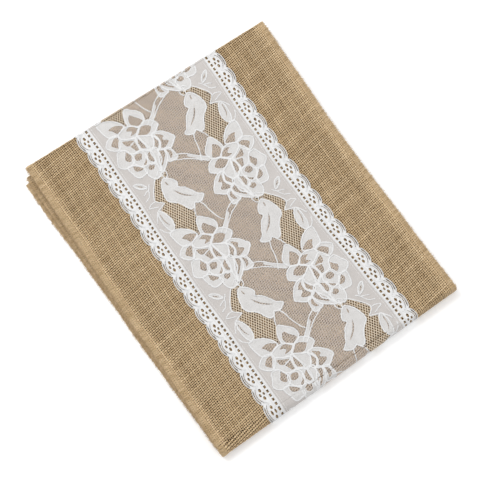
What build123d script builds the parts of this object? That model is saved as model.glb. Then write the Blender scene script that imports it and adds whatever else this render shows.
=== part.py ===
from build123d import *
import os

# A burlap table runner with a lace ribbon along its middle, folded in half three times.
# The cloth is eight panels long. Panel 1 starts at one end, and panel 2 ends up on top.
# X runs across the cloth and Y along it. The final fold, which opens, is at -Y.

# Driving dimensions, in millimetres
runner_width = 300.0
folded_length = 373.0
burlap_thickness = 0.9
lace_thickness = 0.5
lace_width = 187.0
scallop_pitch = 20.7
scallop_depth = 4.0
band_width = 6.5
band_thickness = 1.5
band_wrap = 0.5
stitch_width = 0.4
stitch_depth = 0.15
stitch_line = 71.0
end_inset = 0.5

# Air between neighbouring layers of burlap
back_gap = 0.65
lace_gap = 1.2
opening_gap = 1.4

# The lower layers end short of the top ones and lean to one side there
middle_setback = 8.0
bottom_setback = 14.0
middle_drift = 5.0
bottom_drift = 9.0

# Panels as they lie from the floor up: number, the side that the lace faces, air above
layers = [
    (1, "down", back_gap),
    (8, "up", lace_gap),
    (5, "down", back_gap),
    (4, "up", opening_gap),
    (3, "down", back_gap),
    (6, "up", lace_gap),
    (7, "down", back_gap),
    (2, "up", 0.0),
]
bottom_panels = (1, 8)
middle_panels = (4, 5)
lower_panels = (1, 8, 5, 4)
upper_panels = (3, 6, 7, 2)

# Height of each panel's burlap above the floor
burlap_low = {}
faces = {}
height = lace_thickness
for number, side, air_above in layers:
    burlap_low[number] = height
    faces[number] = side
    height += burlap_thickness + air_above
stack_height = height + lace_thickness

# Where the folds and the ends are along Y
half_length = folded_length / 2
hinge_y = -half_length + stack_height / 2
hinge_z = stack_height / 2


def burlap_middle(panel):
    """Height of the middle of a panel's burlap."""
    return burlap_low[panel] + burlap_thickness / 2


def fold_reach(panel_a, panel_b):
    """How far a fold between two panels stands out from its axis, lace included."""
    reach = abs(burlap_middle(panel_a) - burlap_middle(panel_b)) / 2 + burlap_thickness / 2
    if lace_is_outside(panel_a, panel_b):
        reach += lace_thickness
    return reach


def lace_is_outside(panel_a, panel_b):
    """True where a fold has the lace on its outer side."""
    lower_panel = min(panel_a, panel_b, key=burlap_middle)
    return faces[lower_panel] == "down"


top_fold_y = half_length - fold_reach(2, 3)
middle_fold_y = half_length - middle_setback - fold_reach(4, 5)
free_end_y = half_length - bottom_setback
cloth_x = bottom_drift * (free_end_y - hinge_y) / (half_length - hinge_y) / 2


def far_y(panel):
    """Where a panel's flat part ends on the +Y side."""
    if panel in bottom_panels:
        return free_end_y
    if panel in middle_panels:
        return middle_fold_y
    return top_fold_y


def centre_x(panel, y):
    """Middle of the cloth across X, which leans aside towards the far end."""
    drift = 0.0
    if panel in bottom_panels:
        drift = bottom_drift
    if panel in middle_panels:
        drift = middle_drift
    return cloth_x - drift * (y - hinge_y) / (half_length - hinge_y)


def strip_outline(panel, across_low, across_high, y_low, y_high):
    """Four corners of a strip that follows the lean of its panel."""
    near_x = centre_x(panel, y_low)
    end_x = centre_x(panel, y_high)
    return [
        (near_x + across_low, y_low),
        (near_x + across_high, y_low),
        (end_x + across_high, y_high),
        (end_x + across_low, y_high),
    ]


def make_strip(panel, across_low, across_high, y_low, y_high, z_low, thickness):
    """A flat strip of cloth or thread."""
    with BuildPart() as strip:
        with BuildSketch(Plane.XY.offset(z_low)):
            with BuildLine():
                Polyline(*strip_outline(panel, across_low, across_high, y_low, y_high), close=True)
            make_face()
        extrude(amount=thickness)
    return strip.part


def make_bend(centre, axis_y, axis_z, turn, across_low, across_high, radius_low, radius_high):
    """A half tube of cloth or thread round an axis along X. A turn of 180 bulges to -Y."""
    middle_x = centre + (across_low + across_high) / 2
    middle_z = axis_z + (radius_low + radius_high) / 2
    with BuildPart() as bend:
        with BuildSketch(Plane.XZ.offset(-axis_y)):
            with Locations((middle_x, middle_z)):
                Rectangle(across_high - across_low, radius_high - radius_low)
        revolve(axis=Axis((0, axis_y, axis_z), (1, 0, 0)), revolution_arc=turn)
    return bend.part


# Burlap: one woven slab per panel, inside the thread that binds its edges
burlap_half = runner_width / 2 - band_wrap
burlap_panels = {}
for panel in burlap_low:
    y_end = far_y(panel)
    if panel in bottom_panels:
        y_end -= end_inset
    with BuildPart() as burlap_panel:
        add(make_strip(panel, -burlap_half, burlap_half, hinge_y, y_end, burlap_low[panel], burlap_thickness))
    burlap_panels[panel] = burlap_panel

# Lace ribbon: scalloped along both sides, with a fine groove under each line of stitches
lace_half = lace_width / 2
valley_half = lace_half - scallop_depth


def lace_low(panel):
    """Height of the underside of a panel's lace."""
    if faces[panel] == "up":
        return burlap_low[panel] + burlap_thickness
    return burlap_low[panel] - lace_thickness


def stitch_low(panel):
    """Height of the underside of the stitches, which are flush with the lace's open face."""
    if faces[panel] == "up":
        return lace_low(panel) + lace_thickness - stitch_depth
    return lace_low(panel)


def lace_end(panel):
    """Where a panel's lace stops: at the bound end of the cloth, or at the fold."""
    if panel in bottom_panels:
        return free_end_y - band_width
    return far_y(panel)


def scalloped_side(panel, side):
    """Points of one scalloped side, three per scallop, from -Y to +Y."""
    length = lace_end(panel) - hinge_y
    count = round(length / scallop_pitch)
    points = []
    for index in range(count):
        y_start = hinge_y + length * index / count
        y_mid = hinge_y + length * (index + 0.5) / count
        y_stop = hinge_y + length * (index + 1) / count
        points.append(
            (
                (centre_x(panel, y_start) + side * valley_half, y_start),
                (centre_x(panel, y_mid) + side * lace_half, y_mid),
                (centre_x(panel, y_stop) + side * valley_half, y_stop),
            )
        )
    return points


lace_panels = {}
stitch_strips = {}
for panel in burlap_low:
    left_side = scalloped_side(panel, -1)
    right_side = scalloped_side(panel, 1)
    stitch_strips[panel] = [
        make_strip(
            panel,
            line - stitch_width / 2,
            line + stitch_width / 2,
            hinge_y,
            lace_end(panel),
            stitch_low(panel),
            stitch_depth,
        )
        for line in (-stitch_line, stitch_line)
    ]
    with BuildPart() as lace_panel:
        with BuildSketch(Plane.XY.offset(lace_low(panel))):
            with BuildLine():
                for scallop in left_side + right_side:
                    ThreePointArc(*scallop)
                Line(left_side[0][0], right_side[0][0])
                Line(left_side[-1][2], right_side[-1][2])
            make_face()
        extrude(amount=lace_thickness)
        add(stitch_strips[panel], mode=Mode.SUBTRACT)
    lace_panels[panel] = lace_panel

# Folds: number, the two panels that it joins, its axis, and the way it bulges
hinge_turn = 180
far_turn = -180
folds = {
    1: (1, 2, hinge_y, hinge_turn),
    2: (2, 3, top_fold_y, far_turn),
    3: (3, 4, hinge_y, hinge_turn),
    4: (4, 5, middle_fold_y, far_turn),
    5: (5, 6, hinge_y, hinge_turn),
    6: (6, 7, top_fold_y, far_turn),
    7: (7, 8, hinge_y, hinge_turn),
}
hinge_folds = (1, 3, 5, 7)
fold_half = valley_half + scallop_depth / 2


def make_fold(fold, across_low, across_high, inner, outer):
    """Half tube for a fold, with its radii counted from the middle of the burlap."""
    panel_a, panel_b, axis_y, turn = folds[fold]
    axis_z = (burlap_middle(panel_a) + burlap_middle(panel_b)) / 2
    radius = abs(burlap_middle(panel_a) - burlap_middle(panel_b)) / 2
    centre = centre_x(panel_b, axis_y)
    return make_bend(centre, axis_y, axis_z, turn, across_low, across_high, radius + inner, radius + outer)


burlap_folds = {}
lace_folds = {}
stitch_bends = {}
for fold, (panel_a, panel_b, axis_y, turn) in folds.items():
    if lace_is_outside(panel_a, panel_b):
        lace_inner = burlap_thickness / 2
        stitch_inner = lace_inner + lace_thickness - stitch_depth
    else:
        lace_inner = -burlap_thickness / 2 - lace_thickness
        stitch_inner = lace_inner
    stitch_bends[fold] = [
        make_fold(
            fold,
            line - stitch_width / 2,
            line + stitch_width / 2,
            stitch_inner,
            stitch_inner + stitch_depth,
        )
        for line in (-stitch_line, stitch_line)
    ]
    with BuildPart() as burlap_fold:
        add(make_fold(fold, -burlap_half, burlap_half, -burlap_thickness / 2, burlap_thickness / 2))
    burlap_folds[fold] = burlap_fold
    with BuildPart() as lace_fold:
        add(make_fold(fold, -fold_half, fold_half, lace_inner, lace_inner + lace_thickness))
        add(stitch_bends[fold], mode=Mode.SUBTRACT)
    lace_folds[fold] = lace_fold

# Overlock thread: a band that wraps each long edge of the burlap
edge_sides = {"left": -1, "right": 1}


def band_span(side):
    """The two limits of an edge band across the cloth, lowest first."""
    outer = side * runner_width / 2
    inner = side * (runner_width / 2 - band_width)
    return min(outer, inner), max(outer, inner)


def make_band(panel, side):
    """Edge band along one panel, hollowed where the burlap lies."""
    low, high = band_span(side)
    y_end = far_y(panel)
    if panel in bottom_panels:
        y_end -= band_width
    z_low = burlap_middle(panel) - band_thickness / 2
    sleeve = make_strip(panel, low, high, hinge_y, y_end, z_low, band_thickness)
    with BuildPart() as band:
        add(sleeve)
        add(burlap_panels[panel].part, mode=Mode.SUBTRACT)
    return band.part


def make_band_bend(fold, side):
    """Edge band round one fold, hollowed where the burlap lies."""
    low, high = band_span(side)
    sleeve = make_fold(fold, low, high, -band_thickness / 2, band_thickness / 2)
    with BuildPart() as band_bend:
        add(sleeve)
        add(burlap_folds[fold].part, mode=Mode.SUBTRACT)
    return band_bend.part


def make_end_band(panel):
    """Band across the cut end of the cloth, hollowed where the burlap lies."""
    half = runner_width / 2
    z_low = burlap_middle(panel) - band_thickness / 2
    sleeve = make_strip(panel, -half, half, free_end_y - band_width, free_end_y, z_low, band_thickness)
    with BuildPart() as end_band:
        add(sleeve)
        add(burlap_panels[panel].part, mode=Mode.SUBTRACT)
    return end_band.part


overlock_groups = {}
for name, side in edge_sides.items():
    lower_bands = [make_band(panel, side) for panel in lower_panels] + [make_band_bend(4, side)]
    upper_bands = [make_band(panel, side) for panel in upper_panels]
    upper_bands += [make_band_bend(fold, side) for fold in (2, 6)]
    overlock_groups[f"overlock_{name}_lower"] = lower_bands
    overlock_groups[f"overlock_{name}_upper"] = upper_bands
    overlock_groups[f"overlock_{name}_fold"] = [make_band_bend(fold, side) for fold in hinge_folds]
overlock_groups["overlock_ends"] = [make_end_band(panel) for panel in bottom_panels]

# Sewing thread: the two lines of stitches that hold the lace on the burlap
upper_stitch_bends = stitch_bends[2] + stitch_bends[6]
stitch_groups = {
    "stitching_lower": sum([stitch_strips[panel] for panel in lower_panels], stitch_bends[4]),
    "stitching_upper": sum([stitch_strips[panel] for panel in upper_panels], upper_stitch_bends),
    "stitching_fold": sum([stitch_bends[fold] for fold in hinge_folds], []),
}

# Write one file per node
os.makedirs("parts", exist_ok=True)

for panel, burlap_panel in burlap_panels.items():
    burlap_panel.part.label = f"burlap_panel_{panel}"
    export_step(burlap_panel.part, f"parts/burlap_panel_{panel}.step")

for panel, lace_panel in lace_panels.items():
    lace_panel.part.label = f"lace_panel_{panel}"
    export_step(lace_panel.part, f"parts/lace_panel_{panel}.step")

for fold, burlap_fold in burlap_folds.items():
    burlap_fold.part.label = f"burlap_fold_{fold}"
    export_step(burlap_fold.part, f"parts/burlap_fold_{fold}.step")

for fold, lace_fold in lace_folds.items():
    lace_fold.part.label = f"lace_fold_{fold}"
    export_step(lace_fold.part, f"parts/lace_fold_{fold}.step")

for name, pieces in (overlock_groups | stitch_groups).items():
    with BuildPart() as thread:
        add(pieces)
    thread.part.label = name
    export_step(thread.part, f"parts/{name}.step")

print("stack height", round(stack_height, 3), "hinge at y", round(hinge_y, 3), "z", round(hinge_z, 3))
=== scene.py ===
import math

import bpy
import numpy as np
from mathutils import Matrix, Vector


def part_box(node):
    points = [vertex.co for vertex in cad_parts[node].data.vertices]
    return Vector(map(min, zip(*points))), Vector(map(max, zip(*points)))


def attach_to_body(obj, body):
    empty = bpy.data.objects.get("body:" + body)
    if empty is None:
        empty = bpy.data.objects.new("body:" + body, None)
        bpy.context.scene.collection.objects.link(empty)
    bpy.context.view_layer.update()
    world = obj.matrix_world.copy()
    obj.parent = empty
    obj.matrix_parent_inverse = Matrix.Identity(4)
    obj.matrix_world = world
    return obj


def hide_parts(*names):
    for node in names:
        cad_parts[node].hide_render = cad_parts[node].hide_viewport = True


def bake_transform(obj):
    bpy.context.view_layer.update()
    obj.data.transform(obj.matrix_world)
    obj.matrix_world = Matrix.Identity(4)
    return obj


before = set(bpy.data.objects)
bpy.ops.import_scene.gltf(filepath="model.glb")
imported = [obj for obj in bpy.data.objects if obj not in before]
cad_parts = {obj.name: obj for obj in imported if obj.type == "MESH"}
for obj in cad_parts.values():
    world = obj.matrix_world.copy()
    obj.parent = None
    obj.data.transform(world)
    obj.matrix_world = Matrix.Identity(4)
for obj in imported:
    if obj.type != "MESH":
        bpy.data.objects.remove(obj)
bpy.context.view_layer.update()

# Lengths below are in millimetres in the cloth's own flat coordinates: u across, v along from panel 1's
# free end, and w off the burlap towards the lace. place() folds them into the frame, in metres.
MM = 0.001
SEED = 7
LOWER = "lower_stack"
UPPER = "upper_stack"

# ---------------------------------------------------------------- frame sizes


def node_box(name):
    """Lowest and highest corner of a CAD node, in millimetres."""
    low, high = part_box(name)
    return np.array(low) / MM, np.array(high) / MM


PANELS = range(1, 9)
FACING = {1: -1, 2: 1, 3: -1, 4: 1, 5: -1, 6: 1, 7: -1, 8: 1}
BODY_OF = {1: LOWER, 8: LOWER, 5: LOWER, 4: LOWER, 3: UPPER, 6: UPPER, 7: UPPER, 2: UPPER}
END_INSET = 0.5
END_GAP = 0.01
panel_box = {n: node_box(f"burlap_panel_{n}") for n in PANELS}
mid_z = {n: (panel_box[n][0][2] + panel_box[n][1][2]) / 2 for n in PANELS}
near_y = panel_box[2][0][1]
far_y = {n: panel_box[n][1][1] + (END_INSET if n in (1, 8) else 0.0) for n in PANELS}
top_width = panel_box[2][1][0] - panel_box[2][0][0]
drift = {n: (panel_box[n][1][0] - panel_box[n][0][0]) - top_width for n in PANELS}
cloth_x = (panel_box[2][1][0] + panel_box[2][0][0]) / 2
stack_height = node_box("lace_panel_2")[1][2]
HALF_WIDTH = 150.0
BAND = 6.5  # width of the overlocked edge

# ---------------------------------------------------------------- folding


def make_spans():
    """The cloth as a chain of flat panels and round folds, each with its start along v."""
    spans = []
    start = 0.0
    for n in PANELS:
        length = far_y[n] - near_y
        spans.append(dict(name=f"panel_{n}", start=start, length=length, flat=1, n=n))
        start += length
        if n == 8:
            break
        radius = abs(mid_z[n + 1] - mid_z[n]) / 2
        at_hinge = n % 2 == 1
        length = math.pi * radius
        spans.append(dict(name=f"fold_{n}", start=start, length=length, flat=0, n=n, hinge=at_hinge))
        start += length
    return spans


spans = make_spans()
span_of = {s["name"]: s for s in spans}
cloth_length = spans[-1]["start"] + spans[-1]["length"]


def span_range(first, last=None):
    """Start and end along v of a span, or of a run of spans."""
    end = span_of[last or first]
    return span_of[first]["start"], end["start"] + end["length"]


def span_table():
    """For each span: start, flat or not, y, way along y, z, fold radius, rise, facing and panel."""
    rows = []
    for s in spans:
        n = s["n"]
        if s["flat"]:
            direction = 1 if n % 2 == 0 else -1
            y_start = near_y if direction > 0 else far_y[n]
            rows.append((s["start"], 1, y_start, direction, mid_z[n], 0, 0, FACING[n], n))
        else:
            bulge = -1 if s["hinge"] else 1
            axis_y = near_y if s["hinge"] else far_y[n]
            radius = abs(mid_z[n + 1] - mid_z[n]) / 2
            rise = 1 if mid_z[n + 1] > mid_z[n] else -1
            rows.append(
                (s["start"], 0, axis_y, bulge, (mid_z[n + 1] + mid_z[n]) / 2, radius, rise, FACING[n], n)
            )
    return np.array(rows, float)


table = span_table()
drift_of = np.array([0.0] + [drift[n] for n in PANELS])
far_of = np.array([1.0] + [far_y[n] - near_y for n in PANELS])

# Gentle unevenness of the whole stack
LEFT_LEAN = 0.010
RIGHT_LEAN = 0.019
RIGHT_FLARE = 3.5
FAR_SKEW = 0.008
FOLD_BULGE = 0.6
WAVES = ((0.30, 47.0, 61.0, 1.0), (0.22, 31.0, -44.0, 2.1), (0.12, 19.0, 23.0, 0.3))


def soften(x, y, z):
    """Makes the stack slightly uneven, as hand-folded cloth is. The hinge line stays straight."""
    lift = np.clip(z / stack_height, 0, 1.2)
    bump = 0.0
    for size, across, along, phase in WAVES:
        bump = bump + size * np.sin(x / across + y / along + phase)
    z = z + lift * bump
    across = (x - cloth_x) / (2 * HALF_WIDTH)
    along = (y - near_y) / (far_y[2] - near_y)
    x = x + (LEFT_LEAN + (RIGHT_LEAN - LEFT_LEAN) * (across + 0.5)) * (y - 40.0)
    x = x + RIGHT_FLARE * np.clip(across + 0.5, 0, 1.1) * np.clip(2 * along - 1, -1, 1) ** 2
    y = y - FAR_SKEW * (x - cloth_x) * np.clip(along, 0, 1)
    fade = np.clip((y - near_y) / 120.0, 0, 1)
    x = x + fade * (0.5 * np.sin(y / 34.0 + z / 3.0) + 0.35 * np.sin(y / 13.0 + z))
    return x, y, z


def along_panel(v):
    """Place along the panel, from -1 at the near folds to 1 at the far ones."""
    index = np.clip(np.searchsorted(table[:, 0], v, side="right") - 1, 0, len(table) - 1)
    y = table[index, 2] + table[index, 1] * table[index, 3] * (v - table[index, 0])
    return (y - (near_y + far_y[2]) / 2) / ((far_y[2] - near_y) / 2)


def ribbon_bow(u, v):
    """The ribbon is not sewn on quite straight: its right side wanders by a few millimetres."""
    c = np.clip(along_panel(v), -0.85, 0.85)
    share = (u + 83.0) / 166.0
    return u + share * (-2.1 - 4.2 * c + 5.1 * c * c)


def place(u, v, w):
    """Folds cloth points into the frame. Returns an array of positions in metres."""
    u, v, w = np.broadcast_arrays(np.asarray(u, float), np.asarray(v, float), np.asarray(w, float))
    index = np.clip(np.searchsorted(table[:, 0], v, side="right") - 1, 0, len(table) - 1)
    start, flat, y0, way, z0, radius, rise, face, n = (table[index, k] for k in range(9))
    n = n.astype(int)
    s = v - start
    y_flat = y0 + way * s
    z_flat = z0 + face * w
    angle = s / np.where(radius > 0, radius, 1.0)
    reach = radius - rise * face * w
    bulge = np.where(way < 0, 1 - FOLD_BULGE * u / HALF_WIDTH, 1.0)
    y_arc = y0 + way * reach * bulge * np.sin(angle)
    z_arc = z0 - rise * reach * np.cos(angle)
    is_flat = flat > 0.5
    y = np.where(is_flat, y_flat, y_arc)
    z = np.where(is_flat, z_flat, z_arc)
    lean_y = np.where(is_flat, y_flat, y0)
    x = cloth_x + u - drift_of[n] * (lean_y - near_y) / far_of[n]
    x, y, z = soften(x, y, z)
    z = np.maximum(z, 0.0)
    return np.stack([x, y, z], -1) * MM


# ---------------------------------------------------------------- meshes


def signed_volume(points, faces):
    a = points[faces[:, 0]]
    b = points[faces[:, 1]]
    c = points[faces[:, 2]]
    total = np.einsum("ij,ij->i", np.cross(a, b), c).sum()
    if faces.shape[1] == 4:
        d = points[faces[:, 3]]
        total += np.einsum("ij,ij->i", np.cross(a, c), d).sum()
    return total


def new_piece(name, points, smooth_groups, flat_groups, material, tone=None):
    """A mesh object from points, smooth faces and flat end faces, turned so that they look outwards."""
    points = points.reshape(-1, 3)
    groups = list(smooth_groups) + list(flat_groups)
    smooth = np.concatenate([np.full(len(g), k < len(smooth_groups)) for k, g in enumerate(groups)])
    centred = points - points.mean(0)
    if sum(signed_volume(centred, g) for g in groups if g.shape[1] in (3, 4)) < 0:
        groups = [g[:, ::-1] for g in groups]
    corners = np.concatenate([g.ravel() for g in groups])
    totals = np.concatenate([np.full(len(g), g.shape[1]) for g in groups])
    starts = np.concatenate([[0], np.cumsum(totals)[:-1]])
    mesh = bpy.data.meshes.new(name)
    mesh.vertices.add(len(points))
    mesh.vertices.foreach_set("co", points.astype(np.float32).ravel())
    mesh.loops.add(len(corners))
    mesh.loops.foreach_set("vertex_index", corners.astype(np.int32))
    mesh.polygons.add(len(totals))
    mesh.polygons.foreach_set("loop_start", starts.astype(np.int32))
    mesh.polygons.foreach_set("use_smooth", smooth)
    mesh.update(calc_edges=True)
    if tone is not None:
        layer = mesh.attributes.new("tone", "FLOAT", "POINT")
        layer.data.foreach_set("value", np.asarray(tone, dtype=np.float32).ravel())
    mesh.materials.append(material)
    piece = bpy.data.objects.new(name, mesh)
    bpy.context.collection.objects.link(piece)
    return piece


def tube_faces(tubes, rings, sides, first=0):
    """Quads along the walls of many tubes with the same count of rings, and their end caps."""
    ring = (np.arange(tubes)[:, None] * rings + np.arange(rings - 1)[None, :]).reshape(-1, 1) * sides
    side = np.arange(sides)[None, :]
    after = (side + 1) % sides
    walls = np.stack([ring + side, ring + after, ring + sides + after, ring + sides + side], -1)
    head = np.arange(tubes)[:, None] * rings * sides + np.arange(sides)[None, ::-1]
    tail = (np.arange(tubes)[:, None] * rings + rings - 1) * sides + np.arange(sides)[None, :]
    return walls.reshape(-1, 4) + first, np.concatenate([head, tail]) + first


class Pile:
    """Collects many small shapes in cloth coordinates, to be made into one piece."""

    def __init__(self, v_range=None):
        self.v_range = v_range
        self.points = []
        self.smooth = {}
        self.flat = {}
        self.tones = []
        self.count = 0

    def add(self, points, groups, tone=0.5):
        """Adds a closed shape. The last of its groups of faces is its ends or edge walls, which stay flat."""
        points = points.reshape(-1, 3)
        if self.v_range is not None:
            v = np.clip(points[:, 1], self.v_range[0] + END_GAP, self.v_range[1] - END_GAP)
            points = np.stack([points[:, 0], v, points[:, 2]], 1)
        self.points.append(points)
        self.tones.append(np.broadcast_to(np.asarray(tone, float), (len(points),)))
        for number, group in enumerate(groups):
            kind = self.flat if number == len(groups) - 1 else self.smooth
            if len(group):
                kind.setdefault(group.shape[-1], []).append(group + self.count)
        self.count += len(points)

    def tube(self, path, half_wide, half_high, sides=5, closed=False, tone=0.5):
        """A tube along a path of (u, v, w) points, lying with its width in the cloth's plane."""
        path = np.asarray(path, float)
        if closed:
            path = np.vstack([path, path[:1]])
        ahead = np.gradient(path, axis=0)
        if closed:
            ahead[0] = ahead[-1] = path[1] - path[-2]
        ahead = ahead / np.maximum(np.linalg.norm(ahead, axis=1, keepdims=True), 1e-9)
        up = np.array([0.0, 0.0, 1.0])
        beside = np.cross(ahead, up)
        size = np.linalg.norm(beside, axis=1, keepdims=True)
        beside = np.where(size > 0.05, beside / np.maximum(size, 1e-9), np.array([1.0, 0.0, 0.0]))
        over = np.cross(beside, ahead)
        angle = 2 * math.pi * (np.arange(sides) + 0.5) / sides
        half_wide = np.broadcast_to(half_wide, (len(path),))[:, None, None]
        half_high = np.broadcast_to(half_high, (len(path),))[:, None, None]
        rings = path[:, None, :] + half_wide * np.cos(angle)[None, :, None] * beside[:, None, :]
        rings = rings + half_high * np.sin(angle)[None, :, None] * over[:, None, :]
        self.add(rings, tube_faces(1, len(path), sides), tone)

    def finish(self, name, material, body, replaces=(), bowed=False):
        points = np.concatenate(self.points)
        u = ribbon_bow(points[:, 0], points[:, 1]) if bowed else points[:, 0]
        world = place(u, points[:, 1], points[:, 2])
        smooth = [np.concatenate(g) for g in self.smooth.values()]
        flat = [np.concatenate(g) for g in self.flat.values()]
        piece = new_piece(name, world, smooth, flat, material, np.concatenate(self.tones))
        return attach(piece, body, replaces)


def attach(piece, body, replaces=()):
    """Rides a piece on its body, or, where body is None, bakes its transform and leaves it on neither body.
    """
    if replaces:
        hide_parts(*replaces)
    if body is not None:
        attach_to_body(piece, body)
        return piece
    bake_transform(piece)
    return piece


# ---------------------------------------------------------------- materials


class Look:
    """A new material, with short calls for its nodes. Textures are laid over object coordinates."""

    def __init__(self, name, roughness, specular=0.5, sheen=0.0):
        self.material = bpy.data.materials.new(name)
        self.material.use_nodes = True
        self.nodes = self.material.node_tree.nodes
        self.links = self.material.node_tree.links
        self.shader = self.nodes["Principled BSDF"]
        self.fill(self.shader.inputs["Roughness"], roughness)
        self.fill(self.shader.inputs["Specular IOR Level"], specular)
        self.fill(self.shader.inputs["Sheen Weight"], sheen)

    def fill(self, socket, value):
        """Gives a socket a value, or a link from another node's output."""
        if hasattr(value, "is_linked"):
            self.links.new(value, socket)
        else:
            socket.default_value = value

    def node(self, kind, **inputs):
        node = self.nodes.new(kind)
        for name, value in inputs.items():
            self.fill(node.inputs[name], value)
        return node

    def noise(self, scale, detail=4.0, rough=0.6, turn=0.0):
        """Noise, turned by some degrees and then stretched by scale = (x, y, z) per metre."""
        where = self.node("ShaderNodeTexCoord").outputs["Object"]
        turned = self.node("ShaderNodeMapping", Vector=where, Rotation=(0.0, 0.0, math.radians(turn)))
        stretched = self.node("ShaderNodeMapping", Vector=turned.outputs["Vector"], Scale=scale)
        place_at = stretched.outputs["Vector"]
        texture = self.node("ShaderNodeTexNoise", Vector=place_at, Scale=1.0, Detail=detail, Roughness=rough)
        return texture.outputs["Fac"]

    def math(self, operation, *values):
        node = self.nodes.new("ShaderNodeMath")
        node.operation = operation
        for socket, value in zip(node.inputs, values):
            self.fill(socket, value)
        return node.outputs["Value"]

    def tone(self):
        """The tone that new_piece() stores on each point."""
        node = self.nodes.new("ShaderNodeAttribute")
        node.attribute_name = "tone"
        return node.outputs["Fac"]

    def color(self, value, stops):
        """Base colour from a value, by stops of (position, (red, green, blue))."""
        node = self.node("ShaderNodeValToRGB", Fac=value)
        while len(node.color_ramp.elements) < len(stops):
            node.color_ramp.elements.new(0.5)
        for element, (position, color) in zip(node.color_ramp.elements, stops):
            element.position = position
            element.color = (*color, 1.0)
        self.links.new(node.outputs["Color"], self.shader.inputs["Base Color"])

    def bump(self, height, strength, distance):
        node = self.node("ShaderNodeBump", Strength=strength, Distance=distance, Height=height)
        self.links.new(node.outputs["Normal"], self.shader.inputs["Normal"])


def yarn_material(name, along_y):
    """Jute yarn: each yarn has its own tone, with darker and lighter fibres along it; the tone also carries
    painted shade under the ribbon's open net and border.
    """
    look = Look(name, roughness=0.85, specular=0.25, sheen=0.15)
    look.fill(look.shader.inputs["Sheen Roughness"], 0.5)
    fibres = look.noise((3400, 420, 2600) if along_y else (420, 3400, 2600), rough=0.7, turn=18.0)
    slubs = look.noise((330, 60, 330) if along_y else (60, 330, 330), detail=2.0)
    value = look.math("MULTIPLY_ADD", fibres, 1.0, look.math("ADD", look.tone(), -0.225))
    value = look.math("ADD", value, look.math("MULTIPLY", slubs, 0.30))
    dark, brown = (0.150, 0.085, 0.034), (0.360, 0.238, 0.117)
    tan, straw = (0.590, 0.420, 0.232), (0.820, 0.630, 0.395)
    look.color(value, [(0.34, dark), (0.54, brown), (0.70, tan), (0.88, straw)])
    look.bump(fibres, 1.0, 0.0006)
    return look.material


def painted_shade_core_material():
    """Painted shade: a dark brown sheet under the yarns, coloured as the shadow seen in the holes between
    them.
    """
    look = Look("burlap_painted_shade_core", roughness=0.95, specular=0.1)
    grain = look.noise((900, 900, 900))
    look.color(grain, [(0.3, (0.022, 0.012, 0.005)), (0.75, (0.065, 0.036, 0.015))])
    look.bump(grain, 0.5, 0.0003)
    return look.material


def woven_material(name):
    """Plain weave for the layers inside the stack, drawn with two crossed waves."""
    look = Look(name, roughness=0.9, specular=0.2)
    where = look.node("ShaderNodeTexCoord").outputs["Object"]
    heights = []
    for direction in ("X", "Y"):
        wave = look.node("ShaderNodeTexWave", Vector=where, Scale=50.0, Distortion=0.6, Detail=1.0)
        wave.wave_type = "BANDS"
        wave.bands_direction = direction
        heights.append(wave.outputs["Fac"])
    crossed = look.math("MAXIMUM", heights[0], heights[1])
    value = look.math("MULTIPLY", crossed, look.noise((700, 700, 700)))
    look.color(value, [(0.1, (0.16, 0.095, 0.042)), (0.55, (0.56, 0.40, 0.22))])
    look.bump(crossed, 0.8, 0.0006)
    return look.material


def lace_material(name, dark, light, grain_size, strength):
    """White lace thread: fine knitted grain and soft shade."""
    look = Look(name, roughness=0.75, specular=0.25, sheen=0.1)
    grain = look.noise((grain_size, grain_size * 0.8, grain_size), detail=3.0)
    patches = look.noise((120, 120, 120), detail=2.0)
    value = look.math("ADD", grain, look.math("MULTIPLY", patches, 0.25))
    look.color(value, [(0.42, dark), (0.72, light)])
    look.bump(grain, strength, 0.0003)
    return look.material


def thread_material(name, dark, light):
    """Fuzzy spun thread, with a tone for each stitch."""
    look = Look(name, roughness=0.85, specular=0.2, sheen=0.2)
    grain = look.noise((2600, 2600, 2600), detail=3.0)
    value = look.math("ADD", look.math("MULTIPLY", grain, 0.7), look.tone())
    look.color(value, [(0.45, dark), (0.85, light)])
    look.bump(grain, 0.6, 0.0003)
    return look.material


WARP = yarn_material("jute_warp", True)
WEFT = yarn_material("jute_weft", False)
PAINTED_SHADE_CORE = painted_shade_core_material()
WOVEN = woven_material("burlap_inner")
LACE = lace_material("lace_petal", (0.47, 0.455, 0.44), (0.635, 0.625, 0.615), 1500, 0.5)
TULLE = lace_material("lace_tulle", (0.42, 0.395, 0.375), (0.545, 0.515, 0.495), 1900, 0.5)
CORD = lace_material("lace_cord", (0.60, 0.595, 0.59), (0.775, 0.775, 0.775), 2600, 0.9)
NET = lace_material("lace_net", (0.55, 0.47, 0.41), (0.72, 0.63, 0.555), 2600, 0.3)
OPEN_NET = lace_material("lace_open_net", (0.66, 0.53, 0.40), (0.84, 0.73, 0.575), 2600, 0.3)
OVERLOCK = thread_material("overlock_thread", (0.40, 0.27, 0.135), (0.70, 0.53, 0.33))
STITCH = thread_material("sewing_thread", (0.62, 0.60, 0.57), (0.80, 0.79, 0.78))

# ---------------------------------------------------------------- lace pattern

REPEAT = 145.6
SCALLOPS_PER_REPEAT = 7
SCALLOP = REPEAT / SCALLOPS_PER_REPEAT
RIBBON_SHIFT = 1.5
MIRROR_LAG = 68.0
STRIP_EDGE = 73.5
v_middle = span_range("panel_2")[0] - near_y
q_phase = v_middle - 2.8

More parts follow.
